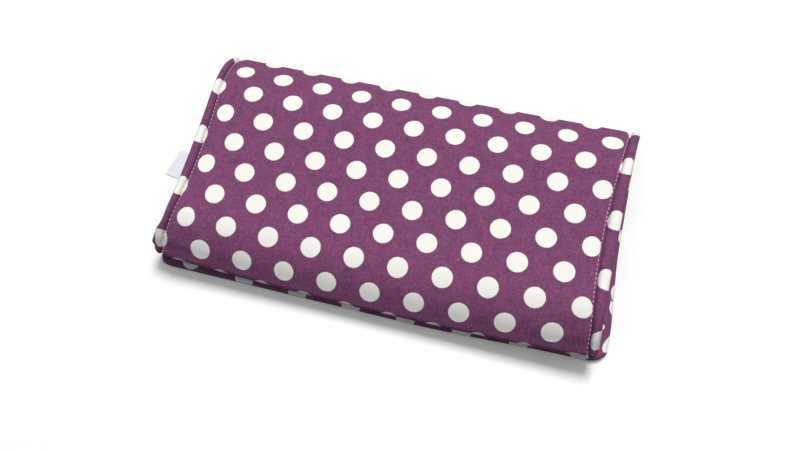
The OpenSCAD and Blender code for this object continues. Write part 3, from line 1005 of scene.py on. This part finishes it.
for node in pockets["nodes"]:
    seams = () if node == "note_pocket" else pockets["seams"]
    piece, size = makeSlab(node, pocketHalf, "bottom", node in pockets["dotted"], pockets["swell"], seams)
    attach(piece, "bottom_leaf")
print("pockets")


def panelHalf(y):
    inside = 0.7 * mm
    return hemEnd(y, -1) - inside, hemEnd(y, 1) - inside


panel, size = makeSlab("inner_panel", panelHalf, "top", False, face=-1)
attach(panel, "top_leaf")

gusset = dict(thick=0.5 * mm, pleats=2, blunt=0.12, lean=0.012)


def makeGusset(side):
    # a strip folded into pleats: x swings with the cosine between the pouch and the hem as z climbs
    node = "gusset_right" if side > 0 else "gusset_left"
    low, high = lowOf(node), highOf(node)
    near, far = (low[0], high[0]) if side > 0 else (-high[0], -low[0])
    thick, blunt = gusset["thick"], gusset["blunt"]
    turn = np.linspace(0, 2 * np.pi * gusset["pleats"], 65)
    swing = np.cos(turn) * (1 - blunt * np.cos(turn) ** 2) / (1 - blunt)
    climb = turn / turn[-1] + gusset["lean"] * np.sin(2 * turn)
    path = np.stack([
        (near + far) / 2 + (far - near - thick) / 2 * swing,
        low[2] + thick / 2 + (roomHigh - low[2] - thick) * climb,
    ], -1)
    way = np.gradient(path, axis=0)
    way = way / np.linalg.norm(way, axis=1, keepdims=True)
    outward = np.stack([way[:, 1], -way[:, 0]], -1)
    y = edgeSpaced(high[1], low[1], 0.4 * mm, 1.5 * mm)
    sheets = []
    for offset in (thick / 2, -thick / 2):
        moved = path + offset * outward
        sheets.append(soften(np.stack([
            side * np.repeat(moved[None, :, 0], len(y), 0),
            np.repeat(y[:, None], len(path), 1),
            np.repeat(moved[None, :, 1], len(y), 0),
        ], -1)[::-side], "top"))
    run = np.concatenate([[0], np.cumsum(np.linalg.norm(np.diff(path, axis=0), axis=1))])
    cloth = np.stack([np.repeat(y[:, None], len(run), 1), np.repeat(run[None], len(y), 0)], -1)
    piece = dress(closedGrid(f"{node}_cloth", *sheets, cloth), liningCotton)
    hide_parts(node)
    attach(piece, "top_leaf")


makeGusset(-1)
makeGusset(1)

pouch = dict(thick=0.6 * mm, pinch=0.8, pinchReach=3 * mm)


def makePouch():
    # one cloth from the upper lip back round the foot to the lower lip, pinched together at both ends
    low, high = lowOf("coin_pouch"), highOf("coin_pouch")
    half = (high[2] - low[2]) / 2
    centre = (low[1] + half, (low[2] + high[2]) / 2)
    line = joinRuns([
        straightRun((high[1], high[2]), (centre[0], high[2]), 1.5 * mm),
        arcRun(centre, half, 90, 270),
        straightRun((centre[0], low[2]), (high[1], low[2]), 1.5 * mm),
    ])
    x = edgeSpaced(-1, 1, 0.02, 0.02)[None] * high[0] + 0 * line["along"][:, None]
    pinch = 1 - pouch["pinch"] * smooth(high[0] - pouch["pinchReach"], high[0], np.abs(x))
    sheets = []
    for depth in (0, pouch["thick"]):
        flat = toSpace(line, np.stack([x, 0 * x + depth], -1))
        flat[..., 2] = centre[1] + (flat[..., 2] - centre[1]) * pinch
        sheets.append(flat)
    cloth = np.stack([x, line["along"][:, None] + 0 * x], -1)
    piece = dress(closedGrid("coin_pouch_cloth", *sheets, cloth), liningCotton)
    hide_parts("coin_pouch")
    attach(piece, "top_leaf")


makePouch()
print("panel, gussets and pouch")


# The folded ribbon at the left end

label = dict(
    width=13 * mm,
    outer=(-99.9 * mm, -8.3 * mm),
    turn=11,
    inside=9.5 * mm,
    height=21.15 * mm,
    droop=0.35 * mm,
    droopZone=(-7 * mm, 0),
    ripple=0.12 * mm,
    rippleLength=2.4 * mm,
    rippleZone=(-6 * mm, 0),
    gap=0.16 * mm,
    thick=0.24 * mm,
)


def makeLabel():
    # the ribbon comes out from under the hem, turns over in a small loop and goes back;
    # u is 0 at its outer end and falls inwards, and w runs across it
    loop = label["gap"] + label["thick"]
    line = joinRuns([
        straightRun((-label["inside"], -loop), (-loop, -loop), 0.7 * mm),
        arcRun((-loop, 0), loop, -90, 90, 0.15 * mm),
        straightRun((-loop, loop), (-label["inside"], loop), 0.7 * mm),
    ])
    half = label["width"] / 2
    w = edgeSpaced(-half, half, 0.25 * mm, 0.8 * mm)
    turn = math.radians(label["turn"])
    sheets = []
    for depth in (0, label["thick"]):
        base = line["points"] - line["normals"] * depth
        u, z = base[:, 0][:, None], base[:, 1][:, None]
        ripple = label["ripple"] * np.sin(w[None] / label["rippleLength"]) * smooth(*label["rippleZone"], u)
        drop = label["droop"] * smooth(*label["droopZone"], u) * (1 + 0.8 * w[None] / half)
        x = label["outer"][0] - u * math.cos(turn) + w[None] * math.sin(turn)
        y = label["outer"][1] + u * math.sin(turn) + w[None] * math.cos(turn)
        sheets.append(np.stack([x, y, z + label["height"] + ripple - drop], -1))
    cloth = np.stack([w[None] + 0 * line["along"][:, None], line["along"][:, None] + 0 * w[None]], -1)
    piece = dress(closedGrid("side_label_ribbon", *sheets, cloth), ribbonCloth)
    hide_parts("side_label")
    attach(piece, "top_leaf")


makeLabel()


# The zip of the coin pouch

zipper = dict(
    centre=(lowOf("zip_teeth_upper")[2] + highOf("zip_teeth_lower")[2]) / 2,
    half=highOf("zip_teeth_upper")[0],
    faceY=(lowOf("zip_teeth_upper")[1] + highOf("zip_teeth_upper")[1]) / 2,
    bend=0.9 * mm,
    thick=0.45 * mm,
    tuck=1.3 * mm,
    clear=0.03 * mm,
    tapeEdge=1.35 * mm,
    pitch=2.5 * mm,
    depth=1.5 * mm,
    drawnIn=0.8,
    # half width and distance from the middle of the chain, from the head of a tooth to its foot
    tooth=[(0.3, -0.3), (0.6, -0.1), (0.6, 0.18), (0.4, 0.5), (0.58, 0.95), (0.5, 1.7)],
    stopLength=2 * mm,
)


def makeTape(side):
    # a woven tape from the teeth round the lip and back along the pouch; side is 1 for the upper one
    node = "zip_tape_upper" if side > 0 else "zip_tape_lower"
    low, high = lowOf(node), highOf(node)
    half = zipper["thick"] / 2
    away = (high[2] if side > 0 else low[2]) - side * (half + zipper["clear"])
    face, bend = zipper["faceY"], zipper["bend"]
    edge = zipper["centre"] + side * zipper["tapeEdge"]
    runs = [
        straightRun((low[1] - zipper["tuck"], away), (face - bend, away), 0.9 * mm),
        arcRun((face - bend, away - side * bend), bend, side * 90, 0, 0.2 * mm),
        straightRun((face, away - side * bend), (face, edge), 0.3 * mm),
    ]
    if side > 0:
        runs = [(run[0][::-1], run[1][::-1]) for run in reversed(runs)]
    for points, normals in runs:    # all normals point out of the pouch's mouth
        if abs(normals[0, 1]) > 0.99:
            normals[:, 1] = side * np.abs(normals[:, 1])
        else:
            normals[:, 0] = np.abs(normals[:, 0])
    line = joinRuns(runs)
    x = edgeSpaced(-high[0], high[0], 0.3 * mm, 2 * mm)[None] + 0 * line["along"][:, None]
    outer = toSpace(line, np.stack([x, 0 * x - half], -1))
    inner = toSpace(line, np.stack([x, 0 * x + half], -1))
    cloth = np.stack([x, line["along"][:, None] + 0 * x], -1)
    piece = dress(closedGrid(f"{node}_cloth", outer, inner, cloth), twill)
    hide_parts(node)
    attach(piece, "top_leaf")


def makeTeeth(side):
    # each tooth is its outline, swept through the chain's depth and drawn in at both faces
    node = "zip_teeth_upper" if side > 0 else "zip_teeth_lower"
    shape = np.array(zipper["tooth"]) * mm
    outline = np.concatenate([shape, shape[::-1] * (-1, 1)])
    middle = outline.mean(0)
    reach = zipper["depth"] / 2
    rings = []
    for share in (-1, -0.75, 0.75, 1):
        ring = middle + (outline - middle) * (zipper["drawnIn"] if abs(share) == 1 else 1)
        rings.append(np.column_stack([ring[:, 0], np.full(len(ring), share * reach), side * ring[:, 1]]))
    tooth = np.stack(rings)
    count = len(outline)
    index = np.arange(tooth.shape[0] * count).reshape(tooth.shape[:2])
    after = np.roll(index, -1, 1)
    faces = [np.stack([index[:-1], after[:-1], after[1:], index[1:]], -1).reshape(-1, 4)]
    pairs = np.arange(count // 2 - 1)
    for lid, order in ((index[0], -1), (index[-1], 1)):
        quads = np.stack([lid[pairs], lid[pairs + 1], lid[count - 2 - pairs], lid[count - 1 - pairs]], -1)
        faces.append(quads[:, ::order])
    faces = np.concatenate(faces)[:, ::-side]
    shift = zipper["pitch"] / 2 if side < 0 else 0
    number = int((zipper["half"] - shift) / zipper["pitch"])
    first = -number if side > 0 else -number - 1
    places = np.arange(first, number + 1) * zipper["pitch"] + shift
    at = np.stack([places, np.full(len(places), zipper["faceY"]), np.full(len(places), zipper["centre"])], -1)
    points = (at[:, None] + tooth.reshape(-1, 3)[None]).reshape(-1, 3)
    faces = (faces[None] + np.arange(len(places))[:, None, None] * index.size).reshape(-1, 4)
    piece = dress(newMesh(f"{node}_metal", points, faces, None, 35), zinc)
    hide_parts(node)
    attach(piece, "top_leaf")


for side in (-1, 1):
    makeTape(side)
    makeTeeth(side)

slider = dict(
    middle=(lowOf("zip_slider")[0] + highOf("zip_slider")[0]) / 2,
    reach=(highOf("zip_slider")[0] - lowOf("zip_slider")[0]) / 2,
    nose=(highOf("zip_slider")[2] - lowOf("zip_slider")[2]) / 2,
    tail=2.6 * mm,
    widening=(-4 * mm, 2 * mm),
    corner=0.9 * mm,
    back=lowOf("zip_slider")[1],
    plate=0.9 * mm,
    face=highOf("zip_slider")[1] - 2.3 * mm,
    backHalf=2.3 * mm,
    lip=0.6 * mm,
    lipDeep=0.55 * mm,
    web=(1.5 * mm, 0.15 * mm),
    bridge=dict(reach=3.1 * mm, half=0.75 * mm, thick=0.8 * mm),
)

pull = dict(
    pivot=(lowOf("zip_pull")[1] + highOf("zip_pull")[1]) / 2,
    half=(highOf("zip_pull")[2] - lowOf("zip_pull")[2]) / 2,
    thick=(highOf("zip_pull")[1] - lowOf("zip_pull")[1]) / 2,
    tip=lowOf("zip_pull")[0] - slider["middle"],
    pin=0.5 * mm,
    window=3.7 * mm,
    arm=0.575 * mm,
    waist=0.3 * mm,
    waistAt=0.52,
    waistReach=1.6 * mm,
)


def plateSkin(start, stop, low, high, halfOf, centreOf=None, rim=0.22 * mm):
    # a rounded plate that runs along X; at each x its half width and its middle along Z
    x = edgeSpaced(start, stop, rim, 0.35 * mm)
    share = edgeSpaced(1, -1, 0.12, 0.2)
    middle = centreOf(x) if centreOf else 0 * x
    z = middle[:, None] + (halfOf(x) + 0 * x)[:, None] * share[None]
    opened = np.maximum(rimOf(x, rim)[:, None] * rimOf(share, 0.12)[None], 0.3)
    deep = (high - low) / 2 * opened
    rows = x[:, None] + 0 * z
    return np.stack([rows, (low + high) / 2 + deep, z], -1), np.stack([rows, (low + high) / 2 - deep, z], -1)


def archSkin(reach, foot, crown, thick, half):
    # a bent strap over the pin of the pull: a squarish arch, cos^0.6 along X and sin^0.6 up to the crown
    turn = np.linspace(np.pi, 0, 41)
    across = np.sign(np.cos(turn)) * np.abs(np.cos(turn)) ** 0.6
    up = np.sin(turn) ** 0.6
    share = edgeSpaced(1, -1, 0.2, 0.25)
    opened = np.maximum(rimOf(share, 0.2), 0.4)[None]
    grids = []
    for sign in (1, -1):
        under = thick / 2 * (1 - sign * opened)
        x = (reach - under) * across[:, None]
        y = foot + (crown - foot - under) * up[:, None]
        grids.append(np.stack([x, y, half * share[None] + 0 * x], -1))
    return grids


def metalPiece(name, node, body, skins, shift):
    # several closed skins as one piece of metal
    points, faces, base = [], [], 0
    for outer, inner in skins:
        points.append(skinRing(outer, inner).reshape(-1, 3))
        faces.append(skinFaces(*outer.shape[:2]) + base)
        base += len(points[-1])
    piece = newMesh(name, np.concatenate(points) + np.array(shift), np.concatenate(faces), None, 40)
    dress(piece, zinc)
    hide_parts(node)
    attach(piece, body)


def sliderHalf(x):
    # narrow at the tail, where the teeth leave joined, and wide at the nose, with rounded corners
    share = np.clip((np.abs(x) - slider["reach"] + slider["corner"]) / slider["corner"], 0, 0.98)
    width = slider["tail"] + (slider["nose"] - slider["tail"]) * smooth(*slider["widening"], x)
    return width - slider["corner"] * (1 - np.sqrt(1 - share**2))


def makeSlider():
    # two plates joined by a web, the bridge on the front one, and a lip along each of its sides
    reach, face, plate, back = slider["reach"], slider["face"], slider["plate"], slider["back"]
    webReach, webHalf = slider["web"]
    bridge = slider["bridge"]
    short = reach - slider["corner"] * 0.7
    skins = [
        plateSkin(-reach, reach, face - plate, face, sliderHalf),
        plateSkin(-reach, reach, back, back + plate, lambda x: np.minimum(sliderHalf(x), slider["backHalf"])),
        plateSkin(-webReach, webReach, back + plate / 2, face - plate / 2, lambda x: webHalf, rim=0.1 * mm),
        archSkin(bridge["reach"], face - plate / 2, highOf("zip_slider")[1], bridge["thick"], bridge["half"]),
    ]
    for side in (-1, 1):
        skins.append(plateSkin(
            -short, short, face - plate - slider["lipDeep"], face - plate / 2,
            lambda x: slider["lip"], lambda x: side * (sliderHalf(x) - slider["lip"])
        ))
    metalPiece("zip_slider_metal", "zip_slider", "slider", skins, (slider["middle"], 0, zipper["centre"]))


def pullHalf(x):
    # a tab with a round tip and a slight waist
    fromTip = np.clip(1 - (x - pull["tip"]) / pull["half"], 0, 0.98)
    fromWaist = (x - pull["waistAt"] * pull["tip"]) / pull["waistReach"]
    return (pull["half"] - pull["waist"] * np.exp(-fromWaist**2)) * np.sqrt(1 - fromTip**2)


def makePull():
    # the tab, its pin, and an arm on each side of the window between them
    low, high = pull["pivot"] - pull["thick"], pull["pivot"] + pull["thick"]
    out = pull["half"] - pull["arm"]
    skins = [
        plateSkin(pull["tip"], -pull["window"], low, high, pullHalf),
        plateSkin(-pull["pin"], pull["pin"], low, high, lambda x: pull["half"] - 0.1 * mm, rim=0.49 * mm),
    ]
    for side in (-1, 1):
        skins.append(plateSkin(
            -pull["window"] - mm, pull["pin"], low, high, lambda x: pull["arm"], lambda x: side * out + 0 * x
        ))
    metalPiece("zip_pull_metal", "zip_pull", "pull", skins, (slider["middle"], 0, zipper["centre"]))


def makeStops():
    low, high = lowOf("zip_stops"), highOf("zip_stops")
    half = (high[2] - low[2]) / 2
    skins = [
        plateSkin(start, start + zipper["stopLength"], low[1], high[1], lambda x: half, rim=0.4 * mm)
        for start in (low[0], high[0] - zipper["stopLength"])
    ]
    metalPiece("zip_stops_metal", "zip_stops", "top_leaf", skins, (0, 0, zipper["centre"]))


makeSlider()
makePull()
makeStops()
print("label and zip")


# Stitches

sewing = dict(
    pitch=1.93 * mm,
    length=1.35 * mm,
    radius=0.17 * mm,
    rise=0.13 * mm,
    rings=6,
    hemLift=0.05 * mm,
    boundLift=0.03 * mm,
    flatLift=0.02 * mm,
    fromEdge=1.6 * mm,
)


def makeStitches(name, paths, ups):
    # short threads along each path: their height is rise * (1 - 1.7 s * s), with s from -1 to 1 along each,
    # so they come up out of the cloth and go back into it
    points, faces, base = [], [], 0
    pitch = sewing["pitch"]
    s = np.linspace(-1, 1, sewing["rings"])
    girth = (sewing["radius"] * np.sqrt(1 - 0.75 * s**4))[None, :, None, None]
    turn = np.radians([0, 60, 120, 180, 240, 300])[:, None]
    for path, up in zip(paths, ups):
        run = np.concatenate([[0], np.cumsum(np.linalg.norm(np.diff(path, axis=0), axis=1))])
        starts = np.arange(pitch * 0.6, run[-1] - pitch * 0.6, pitch)
        where = starts[:, None] + s[None] * sewing["length"] / 2
        at = np.stack([np.interp(where, run, path[:, k]) for k in range(3)], -1)
        lean = np.stack([np.interp(where, run, up[:, k]) for k in range(3)], -1)
        lean = lean / np.linalg.norm(lean, axis=-1, keepdims=True)
        way = np.gradient(at, axis=1)
        way = way / np.linalg.norm(way, axis=-1, keepdims=True)
        side = np.cross(way, lean)
        at = at + lean * (sewing["rise"] * (1 - 1.7 * s**2))[None, :, None]
        around = side[:, :, None] * np.cos(turn) + lean[:, :, None] * np.sin(turn)
        ring = at[:, :, None] + girth * around
        index = base + np.arange(ring[..., 0].size).reshape(ring.shape[:3])
        after = np.roll(index, -1, 2)
        faces.append(np.stack([index[:, :-1], index[:, 1:], after[:, 1:], after[:, :-1]], -1).reshape(-1, 4))
        for lid in (index[:, 0], index[:, -1, ::-1]):    # two faces close each six-sided end
            faces += [lid[:, [0, 1, 2, 3]], lid[:, [0, 3, 4, 5]]]
        points.append(ring.reshape(-1, 3))
        base += index.size
    piece = newMesh(name, np.concatenate(points), np.concatenate(faces), None, 70)
    return dress(piece, thread)


def columnPath(faces, column, lift):
    # a path along one column of the cover, lifted a little out of its face
    outer, inner = faces
    up = outer[:, column] - inner[:, column]
    up = up / np.linalg.norm(up, axis=1, keepdims=True)
    return outer[:, column] + up * lift, up


def sewHems(name, line, profile, leaf):
    # a row of stitches along each end, in its groove
    faces = coverFaces(line, profile, leaf)
    column = (len(hem["shape"]) - 1 - stitchPoint(hem["shape"])) * hem["perSpan"]
    rows = [columnPath(faces, at, sewing["hemLift"]) for at in (column, profile.shape[1] - 1 - column)]
    piece = makeStitches(name, *zip(*rows))
    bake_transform(piece)


def sewBound():
    # a row along the inner side of each bound end, near the tucked edge of its strip
    profile = bottomProfile(bottom)
    faces = coverFaces(bottom, profile, "bottom")
    y = bottom["points"][:, 0]
    flat = (bottomShare(bottom) > 0.99) & (y > -48 * mm) & (y < 46 * mm)
    paths, ups = [], []
    for column in (hem["perSpan"], profile.shape[1] - 1 - hem["perSpan"]):
        path, up = columnPath(faces, column, sewing["boundLift"])
        paths.append(path[flat])
        ups.append(up[flat])
    piece = makeStitches("bound_stitches", paths, ups)
    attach(piece, "bottom_leaf")


def sewPockets():
    # topstitching along the far edge of the note pocket and of every tier
    paths, ups = [], []
    x = np.linspace(-90 * mm, 90 * mm, 200)
    for node in pockets["nodes"]:
        y = highOf(node)[1] - sewing["fromEdge"]
        height = highOf(node)[2] + turned["height"] + sewing["flatLift"]
        paths.append(soften(np.stack([x, 0 * x + y, 0 * x + height], -1), "bottom"))
        ups.append(np.repeat([[0.0, 0.0, 1.0]], len(x), 0))
    piece = makeStitches("pocket_stitches", paths, ups)
    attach(piece, "bottom_leaf")


def sewPanel():
    # two rows along the free edge of the inner panel and one near each end, on the side towards the pockets
    low, high = lowOf("inner_panel"), highOf("inner_panel")
    ends = 91 * mm
    runs = []
    for y in (high[1] - sewing["fromEdge"], high[1] - turned["width"] + 0.8 * mm):
        runs.append((np.linspace(-ends, ends, 200), y, turned["height"]))
    for x in (-ends, ends):
        runs.append((x, np.linspace(low[1] + 2 * mm, high[1] - turned["width"] - mm, 80), 0))
    paths, ups = [], []
    for x, y, raised in runs:
        height = low[2] - raised - sewing["flatLift"]
        paths.append(soften(np.stack([x + 0 * y, y + 0 * x, height + 0 * x + 0 * y], -1), "top"))
        ups.append(np.repeat([[0.0, 0.0, -1.0]], len(paths[-1]), 0))
    piece = makeStitches("panel_stitches", paths, ups)
    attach(piece, "top_leaf")


sewHems("upper_hem_stitches", top, topProfile(top), "top")
sewHems("lower_hem_stitches", bottom, bottomProfile(bottom), "bottom")
sewBound()
sewPockets()
sewPanel()
print("stitches")


# Camera, light and floor

view = dict(
    place=(0.05530, -0.12071, 0.30755),
    turn=(21.8648, 4.0563, 14.8475),
    lens=33.267,
    sensor=36.0,
)

studio = dict(
    keyRise=62,
    keySide=10,
    keyDistance=3.0,
    keySize=1.0,
    keyStrength=0.76,
    sky=(0.9, 0.95, 1.1, 1),
    skyTop=0.68,
    skyLow=0.01,
    skyFrom=0.3,
    floorHalf=2.0,
    floorHeight=-0.1 * mm,
    floor=(0.97, 0.97, 0.97, 1),
    floorGlow=(0.075, 0.065, 0.03, 1),
    # what the floor gives back to light that has met the wallet
    bounce=(0.06, 0.06, 0.06, 1),
)


def makeCamera():
    camera = bpy.data.cameras.new("camera")
    camera.lens = view["lens"]
    camera.sensor_width = view["sensor"]
    camera.clip_start, camera.clip_end = 0.01, 20
    piece = bpy.data.objects.new("camera", camera)
    piece.location = view["place"]
    piece.rotation_euler = [math.radians(a) for a in view["turn"]]
    bpy.context.collection.objects.link(piece)
    bpy.context.scene.camera = piece


def makeKey():
    # a square lamp behind the folded edge, aimed at the wallet
    lamp = bpy.data.lights.new("key", "AREA")
    lamp.size = studio["keySize"]
    lamp.energy = studio["keyStrength"] * math.pi * math.pi * studio["keyDistance"] ** 2
    piece = bpy.data.objects.new("key", lamp)
    rise, side = math.radians(studio["keyRise"]), math.radians(studio["keySide"])
    way = (math.cos(rise) * math.sin(side), math.cos(rise) * math.cos(side), math.sin(rise))
    piece.location = [studio["keyDistance"] * part for part in way]
    piece.rotation_euler = (-(math.pi / 2 - rise), 0, -side)
    bpy.context.collection.objects.link(piece)


def raysOf(start):
    kinds = ("Is Camera Ray", "Is Glossy Ray", "Is Transmission Ray")
    return start.node("ShaderNodeLightPath", {}, {}, kinds)


def makeWorld():
    # white to the camera; to the wallet a sky that brightens from skyFrom up to the zenith
    world = bpy.data.worlds.new("studio")
    world.use_nodes = True
    world.node_tree.nodes.clear()
    start = Wire(world.node_tree)
    seen, glossy, through = raysOf(start)
    direct = seen.maths("MAXIMUM", through)
    colour = direct.blendColours(studio["sky"], (1, 1, 1, 1))
    way = start.node("ShaderNodeTexCoord", {}, {}, 0)
    height = way.node("ShaderNodeSeparateXYZ", {}, {0: way}, 2)
    strength = studio["skyLow"] + height.ramp(studio["skyFrom"], 1.0) * (studio["skyTop"] - studio["skyLow"])
    strength = direct * (1 - strength) + strength
    back = start.node("ShaderNodeBackground", {}, {0: colour, 1: strength})
    start.node("ShaderNodeOutputWorld", {}, {0: back}, None)
    bpy.context.scene.world = world


def makeFloor():
    # pale to the camera and darker to bounced light, so that it keeps the shadow but lifts nothing from below
    half, low = studio["floorHalf"], studio["floorHeight"]
    points = np.array([(-half, -half, low), (half, -half, low), (half, half, low), (-half, half, low)])
    floor = newMesh("floor", points, np.array([[0, 1, 2, 3]]))
    material, start = newMaterial("pale_floor")
    seen, glossy, through = raysOf(start)
    direct = seen.maths("MAXIMUM", glossy.maths("MAXIMUM", through))
    finishMaterial(start, {
        "Base Color": direct.blendColours(studio["bounce"], studio["floor"]),
        "Roughness": 0.9,
        "Specular IOR Level": 0.0,
        "Emission Color": direct.blendColours((0, 0, 0, 1), studio["floorGlow"]),
        "Emission Strength": 1.0,
    })
    floor.data.materials.append(material)


makeCamera()
makeKey()
makeWorld()
makeFloor()
bpy.context.scene.view_settings.view_transform = "Standard"

for node in ("magnet_lower", "magnet_upper"):
    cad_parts[node].data.materials.clear()
    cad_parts[node].data.materials.append(steel)
